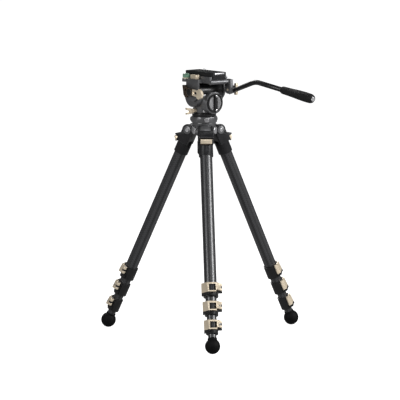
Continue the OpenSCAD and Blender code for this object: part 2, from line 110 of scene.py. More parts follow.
floor_mesh = bpy.data.meshes.new("floor")
half = FLOOR_SIZE / 2
corners = [(-half, -half, 0), (half, -half, 0), (half, half, 0), (-half, half, 0)]
floor_mesh.from_pydata(corners, [], [(0, 1, 2, 3)])
floor = bpy.data.objects.new("floor", floor_mesh)
bpy.context.scene.collection.objects.link(floor)
floor_paint = bpy.data.materials.new("floor_paint")
floor_paint.use_nodes = True
floor_shader = floor_paint.node_tree.nodes["Principled BSDF"]
floor_shader.inputs["Base Color"].default_value = (0.42, 0.42, 0.42, 1)
floor_shader.inputs["Roughness"].default_value = 0.9
floor_shader.inputs["Specular IOR Level"].default_value = 0.0
floor_shader.inputs["Emission Color"].default_value = (1, 1, 1, 1)
seen = floor_paint.node_tree.nodes.new("ShaderNodeLightPath")
glow = sum_of(floor_paint.node_tree, "MULTIPLY", seen.outputs["Is Camera Ray"], FLOOR_GLOW)
floor_paint.node_tree.links.new(glow, floor_shader.inputs["Emission Strength"])
floor_mesh.materials.append(floor_paint)

world = bpy.data.worlds.new("studio")
bpy.context.scene.world = world
world.use_nodes = True
world.node_tree.nodes["Background"].inputs["Color"].default_value = (1, 1, 1, 1)
world.node_tree.nodes["Background"].inputs["Strength"].default_value = SKY


def soft_lamp(name, place, target, size, watts):
    """A square area lamp at place that looks at target, of the given edge length and power."""
    data = bpy.data.lights.new(name, "AREA")
    data.size = size
    data.energy = watts
    lamp = bpy.data.objects.new(name, data)
    lamp.location = place
    lamp.rotation_euler = (Vector(target) - Vector(place)).to_track_quat("-Z", "Y").to_euler()
    bpy.context.scene.collection.objects.link(lamp)
    return lamp


soft_lamp("key_right", (2.4, -1.2, 1.7), (0, 0, 0.35), 1.2, 95)
soft_lamp("fill_left", (-2.6, -1.8, 1.4), (0, 0, 0.35), 1.2, 44)
soft_lamp("top_front", (0.3, -2.6, 2.6), (0, 0, 0.5), 1.0, 18)
soft_lamp("rim_behind", (-0.8, 2.2, 1.8), (0, 0, 0.4), 0.8, 25)
print("lamps ready")

# %% [markdown]
# ## Local frames
# Legs lean and the head is turned, so shapes are easier to write in a frame of their own: X outwards
# or towards the pan bar, Z up along the leg. The joints of the model know these directions, so the
# frames are read from them and not typed in again.

# %% Local frames


def unit(v):
    """v divided by its length."""
    v = np.array(v, float)
    return v / np.linalg.norm(v)


def leg_frame(leg):
    """(origin, X, Y, Z) of a leg: origin on its hinge, X outwards, Z up along the tubes."""
    x = unit(JOINT["latch_pull_" + leg]["axis"])
    z = -unit(JOINT["section_2_slide_" + leg]["axis"])
    return np.array(JOINT["leg_fold_" + leg]["pos_m"]), x, np.cross(z, x), z


def head_frame():
    """(origin, X, Y, Z) of the head: origin on the floor under the pan axis, X along the dial's axis."""
    x = unit(JOINT["dial_turn"]["axis"])
    y = unit(JOINT["tilt"]["axis"])
    origin = np.array(JOINT["pan"]["pos_m"]) * (1, 1, 0)
    return origin, x, y, np.cross(x, y)


def local(points, base):
    """Row points in metres taken into the frame base, in millimetres: the dot product with each axis."""
    return np.stack([(np.asarray(points) - base[0]) @ axis for axis in base[1:]], axis=-1) / MM


def placed(points, base):
    """Points in millimetres in the frame base taken to row metres: origin + x X + y Y + z Z."""
    p = np.asarray(points, float) * MM
    return base[0] + p[..., 0:1] * base[1] + p[..., 1:2] * base[2] + p[..., 2:3] * base[3]


LEG = {leg: leg_frame(leg) for leg in LEGS}
HEAD = head_frame()
TILT = local(JOINT["tilt"]["pos_m"], HEAD)
ROSETTE = local(JOINT["bar_angle"]["pos_m"], HEAD)
DIAL = local(JOINT["dial_turn"]["pos_m"], HEAD)
PLATE_TOP = frame["record"]["mounts"][1]["pos_m"][2] / MM
ROW = (HEAD[0] * (1, 1, 0), *np.eye(3))
DIAL_X = 38.4
DIAL_BAR_UP = 7.6
LEVER_FACE_Y = -52.1
print("tilt axis", TILT.round(1), "rosette", ROSETTE.round(1), "plate top", round(PLATE_TOP, 1))

# %% [markdown]
# ## Surfaces from arrays
# Nearly every small fitting is a surface of two parameters. numpy works out all points at once, and
# the faces follow from the row and column numbers, so no loop walks over the vertices.

# %% Grid, lathe and sweep


def index_faces(rows, columns, wrap):
    """Quads of a grid: (i, j), (i, j+1), (i+1, j+1), (i+1, j); wrap joins the last column to the first."""
    i, j = np.meshgrid(np.arange(rows - 1), np.arange(columns if wrap else columns - 1), indexing="ij")
    k = (j + 1) % columns
    low, high = i * columns, (i + 1) * columns
    return np.stack([low + j, low + k, high + k, high + j], -1).reshape(-1, 4)


def finished(name, points, faces, body, paint, smooth=True):
    """Makes the mesh, merges doubles, turns the faces outwards, gives the finish and seats it on its body."""
    mesh = bpy.data.meshes.new(name)
    mesh.from_pydata(points.reshape(-1, 3), [], faces)
    work = bmesh.new()
    work.from_mesh(mesh)
    bmesh.ops.remove_doubles(work, verts=work.verts, dist=2e-6)
    bmesh.ops.recalc_face_normals(work, faces=work.faces)
    work.to_mesh(mesh)
    work.free()
    mesh.polygons.foreach_set("use_smooth", np.full(len(mesh.polygons), smooth))
    mesh.materials.append(paint)
    piece = bpy.data.objects.new(name, mesh)
    bpy.context.scene.collection.objects.link(piece)
    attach(piece, body)
    return piece


def turned(profile, count, ripple=None):
    """Lathe: each (r, z) of the profile goes round the Z axis in count steps; ripple(angle, z) adds to r."""
    profile = np.asarray(profile, float)
    angle = np.linspace(0, 2 * math.pi, count, endpoint=False)
    r = profile[:, :1] + np.zeros(count)
    if ripple is not None:
        r = np.where(profile[:, :1] > 0, r + ripple(angle[None, :], profile[:, 1:2]), 0)
    z = profile[:, 1:2] + np.zeros(count)
    return np.stack([r * np.cos(angle), r * np.sin(angle), z], -1), index_faces(len(profile), count, True)


def rounded(profile, radius, steps=4):
    """A profile whose inner corners become quadratic curves that start radius away from the corner."""
    p = np.asarray(profile, float)
    before, here, after = p[:-2], p[1:-1], p[2:]
    reach_in = np.minimum(radius, 0.45 * np.linalg.norm(here - before, axis=1))[:, None]
    reach_out = np.minimum(radius, 0.45 * np.linalg.norm(after - here, axis=1))[:, None]
    start = here + (before - here) / np.linalg.norm(before - here, axis=1)[:, None] * reach_in
    stop = here + (after - here) / np.linalg.norm(after - here, axis=1)[:, None] * reach_out
    t = np.linspace(0, 1, steps)[None, :, None]
    curve = (1 - t) ** 2 * start[:, None] + 2 * t * (1 - t) * here[:, None] + t**2 * stop[:, None]
    return np.concatenate([p[:1], curve.reshape(-1, 2), p[-1:]])


def axis_frame(base, origin, direction):
    """A frame whose Z is a local direction and whose origin is a local point of base; X is any normal."""
    z = unit(direction)
    helper = np.array([0, 0, 1.0]) if abs(z[2]) < 0.9 else np.array([1.0, 0, 0])
    x = unit(np.cross(helper, z))
    turn = np.stack([base[1], base[2], base[3]])
    return placed(origin, base), x @ turn, np.cross(z, x) @ turn, z @ turn


def swept(path, radius, count):
    """Tube: at each path point a circle of the given radius, square to the path, closed at both ends."""
    path = np.asarray(path, float)
    along = np.gradient(path, axis=0)
    along /= np.linalg.norm(along, axis=1)[:, None]
    side = np.cross(along, (0, 1, 0))
    side /= np.linalg.norm(side, axis=1)[:, None]
    up = np.cross(side, along)
    angle = np.linspace(0, 2 * math.pi, count, endpoint=False)
    ring = np.cos(angle)[None, :, None] * side[:, None] + np.sin(angle)[None, :, None] * up[:, None]
    r = np.broadcast_to(np.asarray(radius, float), (len(path),))[:, None, None]
    tube = path[:, None] + ring * r
    ends = [np.repeat(path[k][None, None], count, axis=1) for k in (0, -1)]
    tube = np.concatenate([ends[0], tube, ends[1]])
    return tube, index_faces(len(tube), count, True)


print("surface helpers ready")

# %% [markdown]
# ## Shared effects
# Handled metal shows three things on every colour: a fine grain, broad cloudy differences in gloss,
# and edges rubbed a little lighter, where the lighter edge is also a painted highlight along each edge.
# Each is a node group with its own inputs, built once and placed in many finishes.

# %% Node helpers


def group(name, inputs, outputs):
    """An empty node group with float or vector sockets; returns (tree, input node, output node)."""
    tree = bpy.data.node_groups.new(name, "ShaderNodeTree")
    for socket, kind, value in inputs:
        made = tree.interface.new_socket(name=socket, in_out="INPUT", socket_type="NodeSocket" + kind)
        if value is not None:
            made.default_value = value
    for socket, kind in outputs:
        tree.interface.new_socket(name=socket, in_out="OUTPUT", socket_type="NodeSocket" + kind)
    return tree, tree.nodes.new("NodeGroupInput"), tree.nodes.new("NodeGroupOutput")


def noise_of(tree, vector, scale, detail=3.0, roughness=0.55):
    """A Noise Texture on a vector; returns its factor output."""
    node = tree.nodes.new("ShaderNodeTexNoise")
    tree.links.new(vector, node.inputs["Vector"])
    node.inputs["Scale"].default_value = scale
    node.inputs["Detail"].default_value = detail
    node.inputs["Roughness"].default_value = roughness
    return node.outputs["Fac"]


def ramp_of(tree, value, low, high):
    """Value taken from low..high to 0..1, held at both ends."""
    node = tree.nodes.new("ShaderNodeMapRange")
    tree.links.new(value, node.inputs["Value"])
    node.inputs["From Min"].default_value = low
    node.inputs["From Max"].default_value = high
    return node.outputs["Result"]


def mixed(tree, mask, a, b):
    """Colour a where the mask is 0 and b where it is 1; each is a linear RGB triple or a socket."""
    node = tree.nodes.new("ShaderNodeMix")
    node.data_type = "RGBA"
    tree.links.new(mask, node.inputs["Factor"])
    for socket, colour in ((node.inputs[6], a), (node.inputs[7], b)):
        if isinstance(colour, tuple):
            socket.default_value = (*colour, 1)
        else:
            tree.links.new(colour, socket)
    return node.outputs[2]


print("node helpers ready")

# %% Groups: grain, rubbed edges with a painted highlight, dust

grain_tree, g_in, g_out = group(
    "surface_grain",
    [("Vector", "Vector", None), ("Size mm", "Float", 1.0)],
    [("Fine", "Float"), ("Cloud", "Float")])
scaled = grain_tree.nodes.new("ShaderNodeVectorMath")
scaled.operation = "SCALE"
grain_tree.links.new(g_in.outputs["Vector"], scaled.inputs[0])
grain_tree.links.new(sum_of(grain_tree, "DIVIDE", 1000.0, g_in.outputs["Size mm"]), scaled.inputs["Scale"])
grain_tree.links.new(noise_of(grain_tree, scaled.outputs[0], 1.0, 2.0), g_out.inputs["Fine"])
grain_tree.links.new(noise_of(grain_tree, g_in.outputs["Vector"], 38.0, 4.0), g_out.inputs["Cloud"])

# Lighter edges: partly real rubbed wear, partly a painted highlight standing in for light along each edge
edge_tree, e_in, e_out = group(
    "rubbed_and_highlit_edges", [("Cloud", "Float", 0.5), ("Amount", "Float", 1.0)], [("Mask", "Float")])
soft_normal = edge_tree.nodes.new("ShaderNodeBevel")
soft_normal.samples = 4
soft_normal.inputs["Radius"].default_value = 0.8 * MM
true_normal = edge_tree.nodes.new("ShaderNodeNewGeometry")
agree = edge_tree.nodes.new("ShaderNodeVectorMath")
agree.operation = "DOT_PRODUCT"
edge_tree.links.new(soft_normal.outputs[0], agree.inputs[0])
edge_tree.links.new(true_normal.outputs["Normal"], agree.inputs[1])
edge = ramp_of(edge_tree, agree.outputs["Value"], 0.99, 0.82)
worn_and_highlit = sum_of(edge_tree, "MULTIPLY", edge, ramp_of(edge_tree, e_in.outputs["Cloud"], 0.35, 0.65))
shown = sum_of(edge_tree, "MULTIPLY", worn_and_highlit, e_in.outputs["Amount"], clamp=True)
edge_tree.links.new(shown, e_out.inputs["Mask"])

dust_tree, d_in, d_out = group(
    "settled_dust", [("Cloud", "Float", 0.5), ("Amount", "Float", 0.2)], [("Mask", "Float")])
facing = dust_tree.nodes.new("ShaderNodeNewGeometry")
parts = dust_tree.nodes.new("ShaderNodeSeparateXYZ")
dust_tree.links.new(facing.outputs["Normal"], parts.inputs[0])
upward = ramp_of(dust_tree, parts.outputs["Z"], 0.2, 0.95)
patchy = sum_of(dust_tree, "MULTIPLY", upward, ramp_of(dust_tree, d_in.outputs["Cloud"], 0.4, 0.7))
dust_tree.links.new(sum_of(dust_tree, "MULTIPLY", patchy, d_in.outputs["Amount"]), d_out.inputs["Mask"])
print("groups", [g.name for g in bpy.data.node_groups])

# %% [markdown]
# ## Coated and bare metal, plastic and rubber
# One recipe serves all the coated pieces: a colour, a slightly different colour in the clouds, a
# lighter edge that is rubbed wear and a painted highlight, and a fine bump. Only the numbers differ
# from satin graphite to soft rubber.

# %% Finish recipe


def finish(name, colour, cloud, edge, rough, metal, grain_mm, bump,
           edge_wear_and_highlight=1.0, dust=0.06, gloss=0.5, sheen=0.0):
    """Principled finish: colour turns to cloud in broad noise, to edge on edges as rubbed wear and painted
    highlight; rough is (low, high).
    """
    paint = bpy.data.materials.new(name)
    paint.use_nodes = True
    tree = paint.node_tree
    shader = tree.nodes["Principled BSDF"]
    place = tree.nodes.new("ShaderNodeTexCoord").outputs["Object"]
    grain = tree.nodes.new("ShaderNodeGroup")
    grain.node_tree = grain_tree
    tree.links.new(place, grain.inputs["Vector"])
    grain.inputs["Size mm"].default_value = grain_mm
    edges = tree.nodes.new("ShaderNodeGroup")
    edges.node_tree = edge_tree
    tree.links.new(grain.outputs["Cloud"], edges.inputs["Cloud"])
    edges.inputs["Amount"].default_value = edge_wear_and_highlight
    settled = tree.nodes.new("ShaderNodeGroup")
    settled.node_tree = dust_tree
    tree.links.new(grain.outputs["Cloud"], settled.inputs["Cloud"])
    settled.inputs["Amount"].default_value = dust
    clouds = ramp_of(tree, grain.outputs["Cloud"], 0.3, 0.7)
    base = mixed(tree, clouds, colour, cloud)
    # The edge colour is rubbed wear and a painted highlight on every edge
    base = mixed(tree, edges.outputs["Mask"], base, edge)
    base = mixed(tree, settled.outputs["Mask"], base, (0.25, 0.245, 0.235))
    tree.links.new(base, shader.inputs["Base Color"])
    spread = tree.nodes.new("ShaderNodeMapRange")
    tree.links.new(grain.outputs["Cloud"], spread.inputs["Value"])
    spread.inputs["From Min"].default_value = 0.3
    spread.inputs["From Max"].default_value = 0.7
    spread.inputs["To Min"].default_value = rough[0]
    spread.inputs["To Max"].default_value = rough[1]
    tree.links.new(spread.outputs["Result"], shader.inputs["Roughness"])
    lift = tree.nodes.new("ShaderNodeBump")
    lift.inputs["Strength"].default_value = bump
    lift.inputs["Distance"].default_value = 0.15 * MM
    tree.links.new(grain.outputs["Fine"], lift.inputs["Height"])
    tree.links.new(lift.outputs["Normal"], shader.inputs["Normal"])
    shader.inputs["Metallic"].default_value = metal
    shader.inputs["Specular IOR Level"].default_value = gloss
    shader.inputs["Sheen Weight"].default_value = sheen
    return paint


GRAPHITE = finish("satin_graphite", (0.105, 0.106, 0.11), (0.13, 0.131, 0.136), (0.3, 0.3, 0.31),
                  (0.3, 0.38), 0.5, 0.25, 0.25)
DEEP_GRAPHITE = finish("deep_graphite", (0.012, 0.0123, 0.0135), (0.018, 0.0183, 0.0195), (0.16, 0.16, 0.17),
                       (0.36, 0.46), 0.2, 0.25, 0.25, gloss=0.25)
BLACK_METAL = finish("satin_black", (0.006, 0.006, 0.007), (0.011, 0.011, 0.012), (0.06, 0.06, 0.06),
                     (0.28, 0.38), 0.2, 0.25, 0.25)
BRONZE = finish("champagne_bronze", (0.7, 0.595, 0.445), (0.77, 0.665, 0.51), (0.9, 0.83, 0.71),
                (0.26, 0.36), 0.4, 0.2, 0.2)
# Dark bronze is the tilt lever's own dark part and also a painted shadow under the latch tabs
DARK_BRONZE_AND_SHADOW = finish("dark_bronze_and_painted_shadow", (0.05, 0.036, 0.024), (0.07, 0.05, 0.035), (0.42, 0.36, 0.27),
                     (0.34, 0.44), 0.6, 0.2, 0.2)
PLASTIC = finish("moulded_black", (0.004, 0.004, 0.0045), (0.008, 0.008, 0.0085), (0.03, 0.03, 0.03),
                 (0.34, 0.48), 0.0, 0.45, 0.5, edge_wear_and_highlight=0.6, dust=0.03, gloss=0.35)
RUBBER = finish("moulded_rubber", (0.002, 0.002, 0.0023), (0.004, 0.004, 0.0043), (0.012, 0.012, 0.012),
                (0.56, 0.72), 0.0, 0.7, 0.6, edge_wear_and_highlight=0.3, dust=0.02, gloss=0.1)
FOAM = finish("closed_cell_foam", (0.007, 0.007, 0.0075), (0.011, 0.011, 0.0115), (0.03, 0.03, 0.03),
              (0.58, 0.72), 0.0, 0.8, 1.0, edge_wear_and_highlight=0.3, gloss=0.2, sheen=0.0)
STEEL = finish("machined_steel", (0.55, 0.55, 0.56), (0.62, 0.62, 0.63), (0.8, 0.8, 0.8),
               (0.2, 0.32), 1.0, 0.15, 0.2)
# A light alloy finish for real parts, also used as a painted highlight on the dial and the plate's end
ALLOY_AND_PAINTED_HIGHLIGHT = finish("alloy_and_painted_highlight", (0.42, 0.42, 0.43), (0.48, 0.48, 0.49), (0.6, 0.6, 0.6),
                     (0.24, 0.34), 0.75, 0.2, 0.2)
print("finishes", len(bpy.data.materials))

# %% [markdown]
# ## Carbon tubes
# The tubes are braided carbon under clear varnish. Bundles of fibre run both ways round the tube and
# pass over and under each other, so small diamonds catch the light in turn. The braid is worked out
# from the angle round the leg and the distance along it: with a = N angle / 2 pi and b = distance
# over cell, the two bundle numbers are floor(a + b) and floor(a - b), and their sum decides which
# bundle lies on top. N is even, so the braid closes on itself.

# %% Group: braid
braid_tree, b_in, b_out = group(
    "carbon_braid",
    [("Vector", "Vector", None), ("Count", "Float", 16.0), ("Cell mm", "Float", 5.6)],
    [("Over", "Float"), ("Height", "Float"), ("Fibre", "Float")])
xyz = braid_tree.nodes.new("ShaderNodeSeparateXYZ")
braid_tree.links.new(b_in.outputs["Vector"], xyz.inputs[0])
angle = sum_of(braid_tree, "ARCTAN2", xyz.outputs["Y"], xyz.outputs["X"])
turns = sum_of(braid_tree, "DIVIDE", angle, 2 * math.pi)
around = sum_of(braid_tree, "MULTIPLY", turns, b_in.outputs["Count"])
along_mm = sum_of(braid_tree, "MULTIPLY", xyz.outputs["Z"], 1000.0)
along = sum_of(braid_tree, "DIVIDE", along_mm, b_in.outputs["Cell mm"])
first = sum_of(braid_tree, "ADD", around, along)
second = sum_of(braid_tree, "SUBTRACT", around, along)
both = sum_of(braid_tree, "ADD", sum_of(braid_tree, "FLOOR", first), sum_of(braid_tree, "FLOOR", second))
over = sum_of(braid_tree, "LESS_THAN", sum_of(braid_tree, "FLOORED_MODULO", both, 4.0), 1.5)


def arch(run):
    """Height across a bundle: sine of pi times the fraction of the run."""
    half_turn = sum_of(braid_tree, "MULTIPLY", sum_of(braid_tree, "FRACT", run), math.pi)
    return sum_of(braid_tree, "SINE", half_turn)


def lines(run):
    """Fine fibre lines along a bundle: a fast sine of the run, from 0 to 1."""
    fast = sum_of(braid_tree, "SINE", sum_of(braid_tree, "MULTIPLY", run, 60.0))
    return sum_of(braid_tree, "MULTIPLY_ADD", fast, 0.5, 0.5)


def chosen(a, b):
    """a where the first bundle is on top, else b."""
    under = sum_of(braid_tree, "SUBTRACT", 1.0, over)
    from_a = sum_of(braid_tree, "MULTIPLY", over, a)
    return sum_of(braid_tree, "ADD", from_a, sum_of(braid_tree, "MULTIPLY", under, b))


braid_tree.links.new(over, b_out.inputs["Over"])
braid_tree.links.new(chosen(arch(second), arch(first)), b_out.inputs["Height"])
braid_tree.links.new(chosen(lines(second), lines(first)), b_out.inputs["Fibre"])
print("braid group", len(braid_tree.nodes), "nodes")

# %% Carbon finish for each leg


def carbon(leg):
    """Varnished braid whose Mapping node takes row coordinates into the leg's own frame."""
    paint = bpy.data.materials.new("carbon_" + leg)
    paint.use_nodes = True
    tree = paint.node_tree
    shader = tree.nodes["Principled BSDF"]
    origin, x, y, z = LEG[leg]
    turn = Matrix((x, y, z))
    mapping = tree.nodes.new("ShaderNodeMapping")
    tree.links.new(tree.nodes.new("ShaderNodeTexCoord").outputs["Object"], mapping.inputs["Vector"])
    mapping.inputs["Rotation"].default_value = turn.to_euler()
    mapping.inputs["Location"].default_value = -(turn @ Vector(origin))
    braid = tree.nodes.new("ShaderNodeGroup")
    braid.node_tree = braid_tree
    tree.links.new(mapping.outputs[0], braid.inputs["Vector"])
    grain = tree.nodes.new("ShaderNodeGroup")
    grain.node_tree = grain_tree
    tree.links.new(mapping.outputs[0], grain.inputs["Vector"])
    colour = mixed(tree, braid.outputs["Over"], (0.006, 0.0063, 0.0075), (0.045, 0.046, 0.05))
    threads = sum_of(tree, "MULTIPLY", braid.outputs["Fibre"], 0.35)
    colour = mixed(tree, threads, colour, (0.024, 0.024, 0.026))
    colour = mixed(tree, sum_of(tree, "MULTIPLY", grain.outputs["Cloud"], 0.3), colour, (0.035, 0.035, 0.037))
    tree.links.new(colour, shader.inputs["Base Color"])
    varnish = sum_of(tree, "MULTIPLY_ADD", braid.outputs["Over"], -0.08, 0.46)
    tree.links.new(varnish, shader.inputs["Roughness"])
    lift = tree.nodes.new("ShaderNodeBump")
    lift.inputs["Strength"].default_value = 0.35
    lift.inputs["Distance"].default_value = 0.2 * MM
    tree.links.new(braid.outputs["Height"], lift.inputs["Height"])
    tree.links.new(lift.outputs["Normal"], shader.inputs["Normal"])
    shader.inputs["Metallic"].default_value = 0.25
    shader.inputs["Coat Weight"].default_value = 0.32
    shader.inputs["Coat Roughness"].default_value = 0.16
    return paint


CARBON = {leg: carbon(leg) for leg in LEGS}
for leg in LEGS:
    for k in (1, 2, 3, 4):
        tube = frame["nodes"][f"tube_{k}_{leg}"].data
        tube.materials.clear()
        tube.materials.append(CARBON[leg])
print("carbon on", 4 * len(LEGS), "tubes")

# %% [markdown]
# ## Softened castings
# Cast and machined pieces never have knife edges. A copy of the engineering mesh is merged, its flat
# triangles are joined, and a live Bevel with hardened normals rounds each sharp edge by a few tenths
# of a millimetre. That small radius is what draws the bright line along an edge.

# %% Softened copies


def softened(node, width_mm, paint, below=None, lower_paint=None):
    """Bevelled copy that replaces a node; below = (point, up) cuts it, and what is under gets lower_paint."""
    work = bmesh.new()
    work.from_mesh(frame["nodes"][node].data)
    bmesh.ops.remove_doubles(work, verts=work.verts, dist=1e-6)
    bmesh.ops.dissolve_limit(work, angle_limit=math.radians(0.5), verts=work.verts, edges=work.edges)
    if below is not None:
        everything = list(work.verts) + list(work.edges) + list(work.faces)
        bmesh.ops.bisect_plane(work, geom=everything, dist=1e-6, plane_co=below[0], plane_no=below[1])
    mesh = bpy.data.meshes.new(node + "_soft")
    work.to_mesh(mesh)
    work.free()
    mesh.polygons.foreach_set("use_smooth", np.ones(len(mesh.polygons), bool))
    mesh.materials.clear()
    mesh.materials.append(paint)
    if below is not None:
        mesh.materials.append(lower_paint)
        centres = np.empty(3 * len(mesh.polygons))
        mesh.polygons.foreach_get("center", centres)
        under = (centres.reshape(-1, 3) - below[0]) @ below[1] < 0
        mesh.polygons.foreach_set("material_index", under.astype(np.int32))
    mesh.update()
    piece = bpy.data.objects.new(node + "_soft", mesh)
    bpy.context.scene.collection.objects.link(piece)
    edge_round = piece.modifiers.new("edges", "BEVEL")
    edge_round.width = width_mm * MM
    edge_round.segments = 2
    edge_round.limit_method = "ANGLE"
    edge_round.angle_limit = math.radians(28)
    edge_round.harden_normals = True
    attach(piece, NODE_BODY[node])
    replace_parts(piece, node)
    return piece


for node, width, paint, slot in (
    ("apex_casting", 0.5, GRAPHITE, "graphite_metal"),
    ("bowl_housing", 0.6, GRAPHITE, "graphite_metal"),
    ("head_body", 1.2, GRAPHITE, "graphite_metal"),
    ("tilt_platform", 0.7, GRAPHITE, "graphite_metal"),
    ("camera_plate", 0.9, DEEP_GRAPHITE, "black_metal"),
    ("pan_base", 0.4, BLACK_METAL, "black_metal"),
    ("tilt_drum", 0.5, BLACK_METAL, "black_metal"),
    ("levelling_ball", 0.3, BLACK_METAL, "black_metal"),
    ("level_rod", 0.2, STEEL, "steel"),
    ("pivot_pins", 0.6, GRAPHITE, "steel"),
    ("camera_screw", 0.3, STEEL, "steel"),
    ("pan_lock_lever", 0.8, BRONZE, "bronze_metal"),
    ("plate_clamp_lever", 0.9, BRONZE, "bronze_metal"),
    ("bar_clamp_knob", 0.8, BRONZE, "bronze_metal"),
):
    softened(node, width, paint)
frame["nodes"]["level_liner"].data.materials.clear()
frame["nodes"]["level_liner"].data.materials.append(PLASTIC)
# The tilt lever is dark where the fingers hold it and pale at its working end
softened("tilt_lock_lever", 0.9, BRONZE, (placed((17, 0, 0), HEAD), HEAD[1]), DARK_BRONZE_AND_SHADOW)
print("head and apex pieces softened")

# %% [markdown]
# ## Lever locks
# Each lock is a split black collar and a bronze over-centre lever. The faces of each lever below a
# plane near its lower tip get the black second finish, so the lever is darker towards the bottom.

# %% Locks, shoulders and latches
LOCK_AT = (387.5, 431.8, 476.1)
TIP_Z = -7.2
for leg in LEGS:
    softened("shoulder_" + leg, 0.8, DEEP_GRAPHITE)
    up = LEG[leg][3]
    # Below the cut each latch gets dark bronze: a painted shadow line under the bronze tab
    softened("latch_" + leg, 0.7, BRONZE, (LEG[leg][0] - 36.4 * MM * up, up), DARK_BRONZE_AND_SHADOW)
    for k in (1, 2, 3):
        softened(f"lock_collar_{k}_{leg}", 0.45, PLASTIC)
        tip = LEG[leg][0] + (TIP_Z - LOCK_AT[k - 1]) * MM * up
        softened(f"lock_lever_{k}_{leg}", 0.55, BRONZE, (tip, up), PLASTIC)
print("locks softened")

# %% [markdown]
# ## Rubber ball feet
# A foot is one turned shape: a collar that grips the tube, a waist, and the ball. A fine moulding
# line runs round the ball where the two halves of the mould met.

# %% Ball feet
LEG_L = 519.61
BALL_R = 18.0


def foot_profile():
    """(r, z) from the south pole of the ball up to the neck's rim."""
    t = np.linspace(-math.pi / 2, 0.92, 60)
    seam = 0.22 * np.exp(-((t - 0.05) / 0.03) ** 2)
    ball = np.stack([(BALL_R - 0.25 + seam) * np.cos(t), (BALL_R - 0.0) * np.sin(t)], -1)
    ball[0, 0] = 0
    neck_r = 9.7 + 1.4
    neck = [(neck_r - 0.2, 15.2), (neck_r, 16.2), (neck_r, 18.6), (neck_r - 0.5, 19.0), (9.8, 19.0)]
    return np.concatenate([ball, neck])


for leg in LEGS:
    origin, x, y, z = LEG[leg]
    base = (origin - z * LEG_L * MM, x, y, z)
    points, faces = turned(foot_profile(), 64)
    foot = finished("ball_foot_" + leg, placed(points, base), faces, "leg_lower_" + leg, RUBBER)
    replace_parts(foot, "foot_" + leg)
print("feet done, leg length", LEG_L)

# %% [markdown]
# ## Pan bar and grip
# The bar is one bent tube. Its path is two straight runs joined by an arc: each corner of the path is
# a quadratic curve, and a circle is carried along it. The grip is turned foam, slim at the throat
# and domed at the end, with a light cap let into the dome.

# %% Pan bar
BAR_Y = 41.1
BAR_R = 4.75
BAR_SWELL = 1.2
BEND = np.array([136.0, TILT[2] + 29])
GRIP = np.array([231.0, TILT[2] + 17])
TAIL = np.array([43.0, TILT[2] - 3.5])
slope = unit(GRIP - BEND)
corners = np.array([TAIL, BEND, GRIP + 58 * slope])
runs = rounded(corners, 16, 14)
path = np.stack([runs[:, 0], np.full(len(runs), BAR_Y), runs[:, 1]], -1)
points, faces = swept(path, BAR_R + BAR_SWELL * np.clip((path[:, 0] - 64) / 10, 0, 1), 40)
bar = finished("pan_bar_tube", placed(points, HEAD), faces, "bar", BLACK_METAL)
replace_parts(bar, "pan_bar")

HUB = axis_frame(HEAD, (ROSETTE[0], 36.1, ROSETTE[2]), (0, 1, 0))
points, faces = turned(rounded([(3.1, 0), (9, 0), (9, 10), (3.1, 10)], 0.9, 5).tolist() + [(3.1, 0)], 64,
                       lambda a, z: np.where(z < 2.5, 0.15 * np.cos(36 * a), 0.0))
hub = finished("pan_bar_hub", placed(points, HUB), faces, "bar", BLACK_METAL)
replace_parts(hub, "pan_bar")
print("pan bar path", len(path), "points")

# %% Grip
GRIP_L = 107.0
GRIP_R = 11.5
throat = [(0, 0), (7.6, 0), (8.8, 1.6), (9.1, 8), (9.8, 34), (GRIP_R - 0.5, 58), (GRIP_R, 78),
          (GRIP_R - 0.3, GRIP_L - 9), (GRIP_R - 2.2, GRIP_L - 3), (GRIP_R - 5.4, GRIP_L - 0.4),
          (0, GRIP_L - 0.4)]
grip_frame = axis_frame(HEAD, (GRIP[0], BAR_Y, GRIP[1]), (slope[0], 0, slope[1]))
profile = rounded(throat, 6.0, 6)
profile[0, 0] = profile[-1, 0] = 0
points, faces = turned(profile, 72, lambda a, z: 0.12 * np.cos(3 * a + z / 19))
grip = finished("pan_grip_foam", placed(points, grip_frame), faces, "bar", FOAM)
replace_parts(grip, "pan_grip")
cap_low = GRIP_L - 1.4
cap_profile = rounded([(0, cap_low), (5.2, cap_low), (5.2, GRIP_L), (4.4, GRIP_L), (0, GRIP_L)], 0.5)
cap_profile[0, 0] = cap_profile[-1, 0] = 0
points, faces = turned(cap_profile, 48)
finished("pan_grip_cap", placed(points, grip_frame), faces, "bar", ALLOY_AND_PAINTED_HIGHLIGHT)
print("grip done")

# %% [markdown]
# ## Levelling handle
# The handle under the apex is a moulded knob with flutes for the fingers. Its radius is the plain
# profile less a cosine of the angle, faded out towards both ends.

# %% Levelling handle
handle_low, handle_high = (np.array(c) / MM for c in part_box("levelling_handle"))
knob_h = 35.0
nose_top = handle_high[2] - handle_low[2]


def flutes(angle, z):
    """-0.9 mm times a raised cosine with 10 flutes, only between 5 mm and 31 mm of the knob's height."""
    inside = np.clip((z - 5) / 3, 0, 1) * np.clip((knob_h - 5 - z) / 3, 0, 1)
    return -0.9 * inside * (0.5 + 0.5 * np.cos(10 * angle)) ** 2


